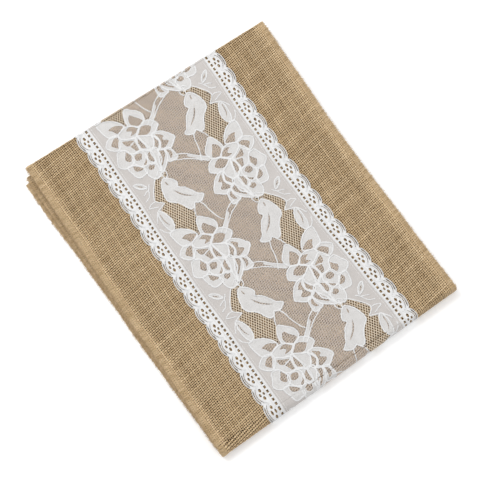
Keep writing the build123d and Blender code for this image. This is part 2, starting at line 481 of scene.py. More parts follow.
# Rose petals, each an outline with its open windows. Points are (across, along) on the left half.
PETALS = [
    (
        [(-63, 39), (-56, 40), (-48, 36), (-42, 30), (-39, 23), (-43, 21), (-50, 18), (-57, 19), (-61, 24)],
        [[(-55, 28), (-48, 29), (-40, 24), (-44, 21), (-49, 20), (-52, 25)]],
    ),
    (
        [(-28, 39), (-22, 34), (-17, 29), (-15, 23), (-18, 16), (-26, 13), (-31, 18), (-35, 21), (-33, 32)],
        [[(-27, 30), (-24, 26), (-19, 18), (-25, 15), (-31, 19), (-31, 26)]],
    ),
    (
        [(-68, 12), (-64, 17), (-58, 20), (-51, 18), (-50, 12), (-53, 7), (-57, 3), (-63, 5)],
        [[(-62, 11), (-57, 16), (-52, 16), (-54, 10), (-57, 5), (-60, 8)]],
    ),
    (
        [(-50, 13), (-49, 18), (-44, 20), (-36, 21), (-31, 18), (-26, 13), (-31, 8), (-36, 5), (-43, 8)],
        [[(-40, 17), (-34, 19), (-28, 13), (-32, 10), (-39, 10), (-35, 13.5)]],
    ),
    (
        [(-26, 13), (-18, 16), (-11, 13), (-7, 6), (-10, 2), (-15, -1), (-22, -1), (-28, 3), (-33, 7)],
        [[(-31, 6), (-25, 12), (-19, 11), (-15, 7), (-19, 3), (-24, 2)]],
    ),
    (
        [(-19, -1), (-11, -2), (-5, -7), (1, -16), (-2, -20), (-9, -25), (-16, -23), (-21, -20), (-16, -12)],
        [[(-16, -3), (-9, -9), (-12, -12.5), (-7, -17), (-11, -20), (-18, -21), (-14.5, -14), (-14, -9)]],
    ),
    ([(-33, 5), (-27, 2), (-21, -1), (-20, -7), (-24, -14), (-30, -16), (-31, -7)], []),
    (
        [(-36, 5), (-33, 5), (-31, -4), (-29, -13), (-31, -15), (-38, -9), (-38, -2)],
        [[(-34, 2), (-32, -3), (-31, -8), (-28.5, -13), (-30.5, -15), (-35, -11), (-36.5, -4)]],
    ),
    (
        [(-51, 12), (-43, 8), (-36, 5), (-37, -2), (-38, -9), (-44, -10), (-50, -7), (-53, -1), (-57, 3)],
        [
            [(-50, 9), (-46, 7), (-39, 3), (-45, 1), (-49, 3)],
            [(-45, 0), (-39, 1), (-39, -7), (-42, -8), (-44, -4)],
        ],
    ),
    (
        [(-61, 1), (-53, -1), (-50, -8), (-49, -13), (-52, -18), (-61, -20), (-68, -14), (-65, -6)],
        [[(-53, -2), (-51, -8), (-49.5, -11), (-52, -15), (-56, -14), (-58, -10), (-55, -6)]],
    ),
    (
        [(-50, -11), (-44, -9.5), (-38, -11), (-36, -16), (-37, -22), (-42, -28), (-49, -24), (-52, -18)],
        [
            [(-48, -13), (-44, -11.5), (-40, -14), (-43, -18.5), (-48, -17.5)],
            [(-38, -19), (-38, -25), (-42, -27), (-44, -26), (-40, -23)],
        ],
    ),
    (
        [(-38, -9), (-31, -14), (-29, -20), (-31, -29), (-37, -30), (-38, -22), (-36, -16)],
        [[(-35, -19), (-31, -16.5), (-32, -21), (-31, -26), (-33.5, -28), (-36, -24)]],
    ),
    (
        [(-61, -20), (-55, -20), (-50, -24), (-46, -29), (-45, -35), (-50, -36), (-56, -36), (-59, -31)],
        [[(-55, -22), (-52, -20), (-50, -25), (-47, -29), (-51, -29.5), (-55, -27)]],
    ),
    (
        [(-46, -29), (-40, -28), (-34, -30), (-32, -35), (-32, -42), (-35, -45), (-41, -47), (-46, -41)],
        [[(-42, -32), (-38.5, -29.5), (-35, -31.5), (-37, -35), (-41, -35)]],
    ),
    ([(-30, -16), (-24, -15), (-22, -19), (-25, -26), (-29, -33), (-30, -40), (-33, -42), (-31, -28)], []),
    (
        [(-22, -19), (-16, -23), (-17, -30), (-21, -36), (-28, -42), (-32, -44), (-30, -37), (-24, -30)],
        [[(-23, -20), (-18.5, -22), (-18.5, -27), (-23, -33), (-28, -37.5), (-27, -32), (-22.5, -27)]],
    ),
    (
        [(-16, -23), (-11, -24), (-9, -30), (-9, -38), (-14, -39), (-20, -37), (-17, -30)],
        [[(-15, -25), (-11.5, -28), (-13, -34), (-16, -35.5), (-14.5, -30)]],
    ),
    (
        [(-20, -2), (-16, -8), (-16, -15), (-21, -20), (-25, -17), (-23, -12), (-20, -7)],
        [[(-19, -5), (-17, -9), (-17.5, -14), (-20.5, -18.5), (-24, -17), (-21, -11)]],
    ),
]

# Leaves, with the slit along each midrib
LEAVES = [
    (
        [
            (-36, 95), (-31, 92), (-27, 87), (-26, 83), (-28, 79), (-22, 74), (-18, 68), (-14, 61), (-9, 57),
            (-13, 53), (-18, 52), (-22, 54), (-25, 50), (-29, 50), (-32, 54), (-35, 60), (-39, 65),
            (-44, 69), (-46, 74), (-45, 81), (-43, 87), (-40, 92),
        ],
        [
            [
                (-35.5, 81), (-34, 78), (-32, 73), (-28.5, 68), (-24, 64), (-18, 60.5),
                (-22, 64), (-27, 68.5), (-31, 74),
            ],
            [(-37, 91), (-36, 91), (-35.3, 86), (-36.5, 87)],
        ],
    ),
    (
        [(-61, 67), (-57, 64), (-54, 57), (-53, 50), (-55, 43), (-59, 41), (-62, 46), (-63, 53), (-63, 60)],
        [[(-61.3, 63), (-60.3, 62), (-59.7, 54), (-57, 47), (-60.5, 53)]],
    ),
    (
        [(-67, 106), (-62, 105), (-58, 101), (-56, 96), (-60, 97), (-64, 100)],
        [[(-64.5, 104), (-61, 101.5), (-58.5, 98.5), (-62, 100.5)]],
    ),
]

# Open ground with the coarse net
COARSE = [
    [
        (-41, 101), (-45, 97), (-50, 91), (-54, 84), (-56, 77),
        (-50, 71), (-46, 72), (-46, 80), (-43, 89), (-40, 95),
    ],
    [
        (-57, 66), (-50, 71), (-45, 70), (-39, 65), (-35, 59), (-31, 52), (-28, 44), (-30, 39),
        (-34, 32), (-37, 24), (-40, 29), (-44, 34), (-50, 38), (-56, 41), (-53, 50), (-54, 60),
    ],
    [(-38, 103), (-34, 104.5), (-31, 101), (-32, 96), (-35, 94), (-38, 97)],
]

# Dense plain ground between the border and the flowers
PLAIN = [
    [
        (-76, -50), (-43, -50), (-41, -45), (-50, -34), (-56, -15), (-56, 20), (-58, 40), (-54, 50),
        (-55, 60), (-58, 66), (-51, 71), (-57, 77), (-55, 84), (-50, 91), (-45, 98), (-41, 102), (-76, 102),
    ],
]

# Stems: the thick end is filled, the thin end is two cords with net between them
STEM_FILL = [[(2, -41), (8, -47), (14, -52), (20, -58), (16, -61), (10, -55), (4, -48), (0, -44)]]
STEM_CORDS = [
    [(-12, -35), (-6, -36.5), (0, -40), (7, -47), (14, -53), (20, -58)],
    [(-15, -39), (-9, -42), (-3, -45), (4, -50), (11, -56), (17, -61)],
    [(-17, 52), (-14.5, 46), (-13, 38), (-11, 31), (-8.5, 25), (-6, 21)],
    [(-24, 51), (-27, 46), (-29, 40)],
    [(-68, 56), (-65, 62), (-61, 67), (-56, 69), (-50, 71)],
    [(-69, 50), (-67, 45), (-63, 41), (-59, 40)],
    [(-50, 71), (-57, 78), (-55, 85), (-50, 92), (-45, 98), (-41, 101)],
    [(-52, 98), (-56, 93), (-60, 86), (-66, 83)],
    [(-56, 93), (-60, 92), (-64, 90)],
    [(-57, 78), (-62, 78), (-67, 75), (-62, 73), (-57, 71)],
    [(-40, 101), (-36, 105), (-32, 104), (-29, 101), (-30, 96), (-33, 94)],
    [(-38, 99), (-35, 99), (-32, 100)],
    [(-35, 104), (-35, 99), (-34, 95)],
]


def spline(points, step, closed=True):
    """A smooth curve through the points, sampled about every step millimetres."""
    points = np.array(points, float)
    if closed:
        around = np.vstack([points[-1:], points, points[:2]])
    else:
        around = np.vstack([2 * points[:1] - points[1:2], points, 2 * points[-1:] - points[-2:-1]])
    result = []
    for a, b, c, d in zip(around[:-3], around[1:-2], around[2:-1], around[3:]):
        count = max(2, int(round(np.linalg.norm(c - b) / step)))
        t = (np.arange(count) / count)[:, None]
        bend = 2 * a - 5 * b + 4 * c - d
        twist = 3 * b - a - 3 * c + d
        result.append(0.5 * ((2 * b) + (c - a) * t + bend * t**2 + twist * t**3))
    if not closed:
        result.append(points[-1:])
    return np.concatenate(result)


def both_sides(points):
    """The same points on the left half, and mirrored and shifted for the right half."""
    points = np.array(points, float) - (RIBBON_SHIFT, 0.0)
    return [points, points * (-1, 1) + (0.0, MIRROR_LAG)]


CELL = 0.7
WINDOW_GROWTH = 0.7
ROWS = int(round(REPEAT / CELL))
COLUMNS = 2 * int(math.ceil((STRIP_EDGE + 1.4) / CELL)) + 1
grid_p = (np.arange(COLUMNS) - (COLUMNS - 1) / 2) * CELL


def polygon_depth(polygon, p, q):
    """Signed distance to a polygon's edge, positive inside."""
    near = np.full(p.shape, 1e9)
    inside = np.zeros(p.shape, bool)
    for (px, py), (nx, ny) in zip(polygon, np.roll(polygon, -1, axis=0)):
        ex, ey = nx - px, ny - py
        length = ex * ex + ey * ey
        t = np.clip(((p - px) * ex + (q - py) * ey) / max(length, 1e-12), 0, 1)
        near = np.minimum(near, (p - px - t * ex) ** 2 + (q - py - t * ey) ** 2)
        crosses = (py > q) != (ny > q)
        if ey:
            inside ^= crosses & (p < px + ex * (q - py) / ey)
    return np.where(inside, 1, -1) * np.sqrt(near)


def depth_field(polygons):
    """Largest signed depth over many polygons, on one repeat of the pattern."""
    field = np.full((ROWS, COLUMNS), -5.0)
    for polygon in polygons:
        low = polygon.min(0) - 5
        high = polygon.max(0) + 5
        rows = np.arange(math.floor(low[1] / CELL), math.ceil(high[1] / CELL) + 1)
        first = max(0, int((low[0] - grid_p[0]) / CELL))
        last = min(COLUMNS, int((high[0] - grid_p[0]) / CELL) + 2)
        if last <= first:
            continue
        p, q = np.meshgrid(grid_p[first:last], rows * CELL)
        depth = np.maximum(polygon_depth(polygon, p, q), -5.0)
        for row, line in zip(rows % ROWS, depth):
            field[row, first:last] = np.maximum(field[row, first:last], line)
    return field


def curves(shapes, step=1.2):
    """Smooth closed curves of the shapes, on the left half and on the right."""
    return [spline(half, step) for shape in shapes for half in both_sides(shape)]


def grow(outline, distance):
    """A closed outline moved outwards by a distance."""
    outline = np.array(outline, float)
    ahead = np.roll(outline, -1, axis=0) - np.roll(outline, 1, axis=0)
    ahead = ahead / np.maximum(np.linalg.norm(ahead, axis=1, keepdims=True), 1e-9)
    after = np.roll(outline, -1, axis=0)
    area = (outline[:, 0] * after[:, 1] - outline[:, 1] * after[:, 0]).sum()
    outward = np.stack([ahead[:, 1], -ahead[:, 0]], 1) * (1 if area > 0 else -1)
    return outline + outward * distance


petal_field = depth_field(curves([outline for outline, windows in PETALS] + [leaf for leaf, slits in LEAVES]))
petal_field = np.maximum(petal_field, depth_field(curves(STEM_FILL)))
window_shapes = [grow(window, WINDOW_GROWTH) for outline, windows in PETALS for window in windows]
slit_shapes = [slit for leaf, slits in LEAVES for slit in slits]
window_field = depth_field(curves(window_shapes + slit_shapes))
coarse_field = depth_field(curves(COARSE))
plain_field = depth_field(curves(PLAIN))
solid_field = np.minimum(petal_field, -window_field)
coarse_open = np.minimum(coarse_field, -petal_field)
tulle_field = np.minimum(np.minimum(plain_field, -petal_field + 0.4), -coarse_field)
inside_ribbon = STRIP_EDGE + 0.7 - np.abs(grid_p)[None, :]
tulle_field = np.minimum(tulle_field, inside_ribbon)
solid_field = np.minimum(solid_field, inside_ribbon)
fine_field = np.minimum(
    np.minimum(-solid_field, -np.maximum(tulle_field, coarse_open)), STRIP_EDGE - np.abs(grid_p)[None, :]
)


def look_up(field, p, q):
    """Value of a repeating field at any place on the ribbon."""
    column_at = np.clip((p - grid_p[0]) / CELL, 0, COLUMNS - 1.001)
    row_at = q / CELL
    c = np.floor(column_at).astype(int)
    r = np.floor(row_at).astype(int)
    cf = column_at - c
    rf = row_at - r
    r0 = r % ROWS
    r1 = (r + 1) % ROWS
    low = field[r0, c] * (1 - cf) + field[r0, c + 1] * cf
    high = field[r1, c] * (1 - cf) + field[r1, c + 1] * cf
    return low * (1 - rf) + high * rf


def cut_sheet(value, p, q):
    """Triangles of the part of a grid where value is positive. Returns points (p, q) and triangles."""
    rows, columns = value.shape
    grid = np.arange(rows * columns).reshape(rows, columns)
    a, b = grid[:-1, :-1].ravel(), grid[:-1, 1:].ravel()
    d, c = grid[1:, :-1].ravel(), grid[1:, 1:].ravel()
    flip = ((np.arange(rows - 1)[:, None] + np.arange(columns - 1)[None, :]) % 2).ravel() > 0
    first = np.where(flip[:, None], np.stack([a, b, d], 1), np.stack([a, b, c], 1))
    second = np.where(flip[:, None], np.stack([b, c, d], 1), np.stack([a, c, d], 1))
    triangles = np.concatenate([first, second])
    flat = value.ravel()
    flat = np.where(np.abs(flat) < 0.04, 0.04, flat)
    positive = flat[triangles] > 0
    whole = triangles[positive.all(1)]
    edge_pairs = []
    pieces = []
    total = rows * columns
    for count in (1, 2):
        chosen = triangles[positive.sum(1) == count]
        sign = flat[chosen] > 0
        odd = np.argmax(sign if count == 1 else ~sign, axis=1)
        row = np.arange(len(chosen))
        lone = chosen[row, odd]
        left = chosen[row, (odd + 1) % 3]
        right = chosen[row, (odd + 2) % 3]
        edge_pairs.append((lone, left))
        edge_pairs.append((lone, right))
        pieces.append((count, lone, left, right))
    pairs = np.concatenate([np.sort(np.stack(pair, 1), 1) for pair in edge_pairs])
    unique, inverse = np.unique(pairs, axis=0, return_inverse=True)
    inverse = inverse.ravel() + total
    va, vb = flat[unique[:, 0]], flat[unique[:, 1]]
    t = va / (va - vb)
    pf, qf = p.ravel(), q.ravel()
    new_p = pf[unique[:, 0]] * (1 - t) + pf[unique[:, 1]] * t
    new_q = qf[unique[:, 0]] * (1 - t) + qf[unique[:, 1]] * t
    made = [whole]
    at = 0
    for count, lone, left, right in pieces:
        size = len(lone)
        to_left = inverse[at : at + size]
        to_right = inverse[at + size : at + 2 * size]
        at += 2 * size
        if count == 1:
            made.append(np.stack([lone, to_left, to_right], 1))
        else:
            made.append(np.stack([to_left, left, right], 1))
            made.append(np.stack([to_left, right, to_right], 1))
    made = np.concatenate(made)
    used, packed = np.unique(made, return_inverse=True)
    all_p = np.concatenate([pf, new_p])[used]
    all_q = np.concatenate([qf, new_q])[used]
    return all_p, all_q, packed.reshape(-1, 3)


def thick_sheet(pile, p, v, triangles, w_low, w_high):
    """Adds a closed sheet of even thickness to a pile."""
    count = len(p)
    top = np.stack([p + RIBBON_SHIFT, v, np.full(count, w_high)], 1)
    bottom = np.stack([p + RIBBON_SHIFT, v, np.full(count, w_low)], 1)
    edges = np.concatenate([triangles[:, [0, 1]], triangles[:, [1, 2]], triangles[:, [2, 0]]])
    key = np.sort(edges, 1)
    code = key[:, 0] * count + key[:, 1]
    index, repeats = np.unique(code, return_index=True, return_counts=True)[1:]
    rim = edges[index[repeats == 1]]
    walls = np.stack([rim[:, 1], rim[:, 0], rim[:, 0] + count, rim[:, 1] + count], 1)
    pile.add(np.concatenate([top, bottom]), [triangles, triangles[:, ::-1] + count, walls])


def ribbon_sheet(pile, field, v_range, step, w_low, w_high):
    """Adds the filled part of the flowers' ground between two places along the cloth."""
    columns = np.arange(grid_p[0], grid_p[-1] + 0.01, CELL * step)
    rows = max(2, int(round((v_range[1] - v_range[0]) / (CELL * step))) + 1)
    v = np.linspace(v_range[0], v_range[1], rows)
    p, vv = np.meshgrid(columns, v)
    value = look_up(field, p, vv - q_phase)
    all_p, all_v, triangles = cut_sheet(value, p, vv)
    if len(triangles):
        thick_sheet(pile, all_p, all_v, triangles, w_low, w_high)


# Border: half distances from the ribbon's centre line
INNER_CORD = 74.3
SQUARE_LINE = 76.8
MIDDLE_CORD = 79.2
ARC_VALLEY = 81.4
ARC_PEAK = 87.6
RIM_VALLEY = 87.6
RIM_PEAK = 91.6
GAP_BEYOND_ARC = 1.25
SQUARES_PER_SCALLOP = 4
OVALS = ((83.0, 0.275, 1.35, 2.1), (85.35, 0.5, 1.1, 1.9), (81.2, 0.5, 1.0, 1.75), (83.0, 0.725, 1.35, 2.1))
SCALLOP_LAG = -1.7
SQUARE_LAG = 0.8


def along_scallop(v):
    """Place along a scallop, from 0 to 1."""
    return ((v - q_phase - SCALLOP_LAG) / SCALLOP) % 1.0


def arc_reach(t, valley, peak):
    """Distance from the centre line of a scallop's curve, with t from 0 to 1 along the scallop."""
    return valley + (peak - valley) * np.power(np.clip(4 * t * (1 - t), 0, 1), 0.62)


def border_value(distance, q):
    """Positive on the solid part of the border."""
    t = ((q - SCALLOP_LAG) / SCALLOP) % 1.0
    value = np.minimum(distance - (STRIP_EDGE - 0.4), arc_reach(t, RIM_VALLEY, RIM_PEAK) + 0.2 - distance)
    gap = np.abs(distance - arc_reach(t, ARC_VALLEY, ARC_PEAK) - GAP_BEYOND_ARC) - 0.34
    value = np.minimum(value, np.where(np.abs(t - 0.5) < 0.42, gap, 1.0))
    square_q = ((q - SQUARE_LAG) % (SCALLOP / SQUARES_PER_SCALLOP)) - SCALLOP / SQUARES_PER_SCALLOP / 2
    square = np.maximum(np.abs(distance - SQUARE_LINE) - 1.2, np.abs(square_q) - 1.6)
    value = np.minimum(value, square)
    for reach, at, half_p, half_q in OVALS:
        ring = np.sqrt(((distance - reach) / half_p) ** 2 + ((t - at) * SCALLOP / half_q) ** 2) - 1
        value = np.minimum(value, ring * half_p)
    return value


def border_sheet(pile, v_range, cell, w_low, w_high):
    rows = max(2, int(round((v_range[1] - v_range[0]) / cell)) + 1)
    v = np.linspace(v_range[0], v_range[1], rows)
    distance = np.arange(STRIP_EDGE - 1.0, ARC_PEAK + 1.5, cell)
    for side in (-1, 1):
        d, vv = np.meshgrid(distance, v)
        value = border_value(d, vv - q_phase)
        all_d, all_v, triangles = cut_sheet(value, d, vv)
        if side < 0:
            triangles = triangles[:, ::-1]
        thick_sheet(pile, side * all_d, all_v, triangles, w_low, w_high)


def repeats_over(v_range, low, high):
    """Numbers of the repeats that a shape from low to high along the pattern has in a stretch."""
    first = math.floor((v_range[0] - q_phase - high) / REPEAT)
    last = math.ceil((v_range[1] - q_phase - low) / REPEAT)
    return range(first, last + 1)


def runs_inside(keep):
    """Start and end of each run of true values."""
    padded = np.concatenate([[False], keep, [False]]).astype(int)
    change = np.diff(padded)
    return zip(np.nonzero(change == 1)[0], np.nonzero(change == -1)[0])


CORD_ROUGHNESS = 0.16


def add_cord(pile, curve, v_range, w, half_wide, half_high, sides, closed, draw):
    """Adds a cord along a curve of (p, q) points, in each repeat, cut off at the stretch's ends."""
    low, high = curve[:, 1].min(), curve[:, 1].max()
    if closed:
        curve = np.vstack([curve, curve[:1]])
    for number in repeats_over(v_range, low, high):
        v = curve[:, 1] + number * REPEAT + q_phase
        keep = (v > v_range[0]) & (v < v_range[1])
        for start, end in runs_inside(keep):
            if end - start < 3:
                continue
            path = np.stack([curve[start:end, 0] + RIBBON_SHIFT, v[start:end], np.full(end - start, w)], 1)
            path[:, :2] += draw.normal(0, CORD_ROUGHNESS, (end - start, 2))
            size = 1 + draw.uniform(-0.3, 0.3, end - start)
            whole = closed and start == 0 and end == len(v)
            if whole:
                path, size = path[:-1], size[:-1]
                pile.tube(path, half_wide * np.append(size, size[0]), half_high, sides, True)
            else:
                pile.tube(path, half_wide * size, half_high, sides)


petal_curves = [outline for outline, windows in PETALS] + [leaf for leaf, slits in LEAVES]


def flower_cords(pile, v_range, w, step, sides, flat, draw):
    """Raised cords round petals, leaves, windows and stems."""
    for outline in petal_curves:
        for half in both_sides(outline):
            add_cord(pile, spline(half, step), v_range, w, 0.88, 0.32 * flat, sides, True, draw)
    for window in window_shapes:
        for half in both_sides(window):
            add_cord(pile, spline(half, step), v_range, w - 0.08, 0.46, 0.22 * flat, sides, True, draw)
    for stem in STEM_CORDS:
        for half in both_sides(stem):
            line = spline(half, step, closed=False)
            add_cord(pile, line, v_range, w, 0.70, 0.30 * flat, sides, False, draw)


def border_cords(pile, v_range, w, step, sides, flat, draw):
    """Straight cords, scallop arcs, and the looped outer rim of both borders."""
    count = max(3, int((v_range[1] - v_range[0]) / step))
    v = np.linspace(v_range[0], v_range[1], count)
    fine_v = np.linspace(v_range[0], v_range[1], int(count * 1.6))
    zig_v = np.linspace(v_range[0], v_range[1], int((v_range[1] - v_range[0]) / 0.62) + 2)
    for side in (-1, 1):
        for line, half_wide in ((INNER_CORD, 0.75), (MIDDLE_CORD, 0.72)):
            size = half_wide * (1 + draw.uniform(-0.14, 0.14, count))
            u = np.full(count, side * line + RIBBON_SHIFT)
            pile.tube(np.stack([u, v, np.full(count, w)], 1), size, 0.30 * flat, sides)
        for valley, peak, half_wide, drop in (
            (ARC_VALLEY, ARC_PEAK, 0.75, 0.0),
            (ARC_VALLEY + 2.2, ARC_PEAK + 2.1, 0.45, 0.04),
            (RIM_VALLEY, RIM_PEAK, 0.50, 0.08),
        ):
            reach = arc_reach(along_scallop(fine_v), valley, peak)
            size = half_wide * (1 + draw.uniform(-0.2, 0.2, len(fine_v)))
            path = np.stack([side * reach + RIBBON_SHIFT, fine_v, np.full(len(fine_v), w - drop)], 1)
            pile.tube(path, size, 0.28 * flat, sides)
        zig_t = along_scallop(zig_v)
        inner = arc_reach(zig_t, ARC_VALLEY, ARC_PEAK) + 1.9
        outer = arc_reach(zig_t, RIM_VALLEY, RIM_PEAK) + draw.uniform(0.4, 1.0, len(zig_t))
        reach = np.where(np.arange(len(zig_v)) % 2 == 0, inner, outer)
        path = np.stack([side * reach + RIBBON_SHIFT, zig_v, np.full(len(zig_v), w - 0.15)], 1)
        pile.tube(path, 0.24, 0.16, 4)


FINE_NET = ((26, 1.15, 0.17, 0.0), (13, 2.3, 0.36, 0.0), (118, 1.15, 0.15, 0.03), (74, 2.53, 0.30, 0.06))


def net(pile, field, v_range, pitch, angle, half_wide, w, step, margin=0.3):
    """One family of parallel strands, kept where the field is above -margin."""
    direction = np.array([math.cos(angle), math.sin(angle)])
    normal = np.array([-direction[1], direction[0]])
    v_low, v_high = v_range
    corners = np.array([(p, v) for p in (-STRIP_EDGE, STRIP_EDGE) for v in v_range])
    offsets = corners @ normal
    reaches = corners @ direction
    s = np.arange(reaches.min(), reaches.max(), 0.6)
    for offset in np.arange(math.ceil(offsets.min() / pitch), offsets.max() / pitch) * pitch:
        p = offset * normal[0] + s * direction[0]
        v = offset * normal[1] + s * direction[1]
        keep = (v > v_low) & (v < v_high) & (np.abs(p) < STRIP_EDGE)
        keep &= look_up(field, np.clip(p, -STRIP_EDGE, STRIP_EDGE), v - q_phase) > -margin
        for start, end in runs_inside(keep):
            if end - start < 2:
                continue
            count = max(2, int((end - start) * 0.6 / step) + 1)
            at = np.linspace(start, end - 1, count).astype(int)
            path = np.stack([p[at] + RIBBON_SHIFT, v[at], np.full(count, w)], 1)
            pile.tube(path, half_wide, half_wide * 0.7, 3)


# ---------------------------------------------------------------- burlap

YARN_PITCH = 2.22
YARN_ROOM = 147.2
YARN_HALF_WIDTH = 0.57
WEFT_SKEW = 0.148
EDGE_CROWD = 137.0
rng = np.random.default_rng(SEED)
WARP_COUNT = 2 * int(YARN_ROOM / YARN_PITCH) + 1
WEFT_COUNT = int(cloth_length / YARN_PITCH) + 3
warp_phase = rng.uniform(0, 2 * math.pi, (WARP_COUNT, 4))
weft_phase = rng.uniform(0, 2 * math.pi, (WEFT_COUNT, 4))
warp_tone = rng.normal(0.26, 0.030, WARP_COUNT)
weft_tone = rng.normal(0.32, 0.035, WEFT_COUNT)
warp_size = np.clip(rng.normal(0.97, 0.045, WARP_COUNT), 0.85, 1.12)
weft_size = np.clip(rng.normal(1.03, 0.055, WEFT_COUNT), 0.88, 1.22)


def yarn_shape(along, phase, size, tone):
    """Sideways wander, thickness and tone along one yarn."""
    wander = 0.09 * np.sin(along / 41 + phase[0]) + 0.07 * np.sin(along / 9.7 + phase[1])
    slub = 0.07 * np.sin(along / 13 + phase[2]) + 0.06 * np.sin(along / 5.1 + phase[3])
    knot = np.clip(np.sin(along / 57 + phase[1] * 3) - 0.95, 0, 1) / 0.05
    thick = size * (1 + slub + 0.18 * knot)
    shade = tone + 0.025 * np.sin(along / 17 + phase[0] * 2) + 0.02 * knot
    return wander, thick, shade


# Painted shade: the yarns' tone is darkened under the ribbon's open net and its border, for the shadow that
# the ribbon casts on them.
NET_SHADE = 0.24
BORDER_SHADE = 0.12


def shade_below(u, v):
    """How much darker the yarns are in the open places of the ribbon, which shades them."""
    at = np.asarray(u) - RIBBON_SHIFT
    bowed = ribbon_bow(at, v) - at
    at = at - bowed
    inside = np.abs(at) < STRIP_EDGE
    net = look_up(coarse_open, np.clip(at, -STRIP_EDGE, STRIP_EDGE), v - q_phase) > -0.5
    border = (np.abs(at) > STRIP_EDGE) & (np.abs(at) < ARC_PEAK)
    return NET_SHADE * (inside & net) + BORDER_SHADE * border


def crossings(low, high, offset, per_crossing):
    """Places along a yarn from low to high: its ends, its crossings, and evenly between them."""
    step = YARN_PITCH / per_crossing
    shift = 0.5 if per_crossing == 1 else 0.0
    first = math.ceil((low - offset) / step - shift)
    at = (np.arange(first, (high - offset) / step) + shift) * step + offset
    at = at[(at > low + 0.3) & (at < high - 0.3)]
    return np.concatenate([[low], at, [high]])


def warp_yarns(v_range, rise, per_crossing):
    """Yarns along the cloth, which go over and under the skewed weft."""
    middle = (WARP_COUNT - 1) / 2
    for number in range(WARP_COUNT):
        centre = (number - middle) * YARN_PITCH
        skew = WEFT_SKEW * centre
        v = crossings(v_range[0], v_range[1], skew, per_crossing)
        wander, thick, shade = yarn_shape(v, warp_phase[number], warp_size[number], warp_tone[number])
        w = rise * np.cos(math.pi * ((v - skew) / YARN_PITCH - 0.5 + number))
        yield centre + wander, v, w, thick, shade


def weft_yarns(v_range, rise, per_crossing):
    """Yarns across the cloth. They run at a slight skew, and a stretch's ends cut some of them."""
    v_low, v_high = v_range
    middle = (WARP_COUNT - 1) / 2
    half = (middle + 1) * YARN_PITCH
    reach = WEFT_SKEW * half
    first = math.ceil((v_low - reach) / YARN_PITCH - 0.5)
    last = math.floor((v_high + reach) / YARN_PITCH - 0.5)
    for number in range(first, last + 1):
        centre = (number + 0.5) * YARN_PITCH
        u_low = max(-half, (v_low - centre) / WEFT_SKEW)
        u_high = min(half, (v_high - centre) / WEFT_SKEW)
        if u_high - u_low < YARN_PITCH:
            continue
        u = crossings(u_low, u_high, -0.5 * YARN_PITCH, per_crossing)
        row = number % WEFT_COUNT
        wander, thick, shade = yarn_shape(u, weft_phase[row], weft_size[row], weft_tone[row])
        w = -rise * np.cos(math.pi * (u / YARN_PITCH + middle + number))
        yield u, np.clip(centre + WEFT_SKEW * u + wander, v_low, v_high), w, thick, shade


def weave(label, v_range, body, half_high, rise, sides, per_crossing, parts):
    """Woven yarns over a stretch of the cloth, as separate warp and weft pieces."""
    pieces = []
    for kind, yarns, material in (("warp", warp_yarns, WARP), ("weft", weft_yarns, WEFT)):
        yarns = list(yarns(v_range, rise, per_crossing))
        for part, chosen in enumerate(np.array_split(np.arange(len(yarns)), parts)):
            pile = Pile(v_range)
            for number in chosen:
                u, v, w, thick, shade = yarns[number]
                crowd = np.clip((np.abs(u) - EDGE_CROWD) / 4.0, 0, 1)
                size = thick * (1 + 0.25 * crowd)
                # The yarn's own tone, lighter where the edge is crowded, less the painted shade under the
                # ribbon.
                tone = np.repeat(shade + 0.05 * crowd - shade_below(u, v), sides)
                pile.tube(np.stack([u, v, w], 1), YARN_HALF_WIDTH * size, half_high * thick, sides, tone=tone)
            name = f"burlap_{kind}_{label}" + (f"_{part + 1}" if parts > 1 else "")
            piece = pile.finish(name, material, body)
            pieces.append(piece)
    return pieces


def loose_hairs(label, v_range, count, body):
    """Fine stray fibres of jute that stand off the yarns."""
    draw = np.random.default_rng(SEED + 90)
    hairs = Pile()
    for _ in range(count):
        u = draw.uniform(-HALF_WIDTH + 8, HALF_WIDTH - 8)
        if abs(u - RIBBON_SHIFT) < RIM_PEAK + 1.5:
            continue
        v = draw.uniform(v_range[0] + 6, v_range[1] - 6)
        heading = draw.uniform(0, 2 * math.pi)
        bend = draw.uniform(-1.6, 1.6)
        length = draw.uniform(2.0, 6.0)
        t = np.linspace(0, 1, 6)
        turn = heading + bend * t
        step = length / 5
        du = np.concatenate([[0], np.cumsum(np.cos(turn[:-1]))]) * step
        dv = np.concatenate([[0], np.cumsum(np.sin(turn[:-1]))]) * step
        w = 0.52 + draw.uniform(0.10, 0.45) * np.sin(math.pi * t)
        hairs.tube(np.stack([u + du, v + dv, w], 1), 0.07, 0.07, 3, tone=draw.uniform(0.25, 0.5))
    piece = hairs.finish(f"burlap_hairs_{label}", WEFT, body)
    return [piece]


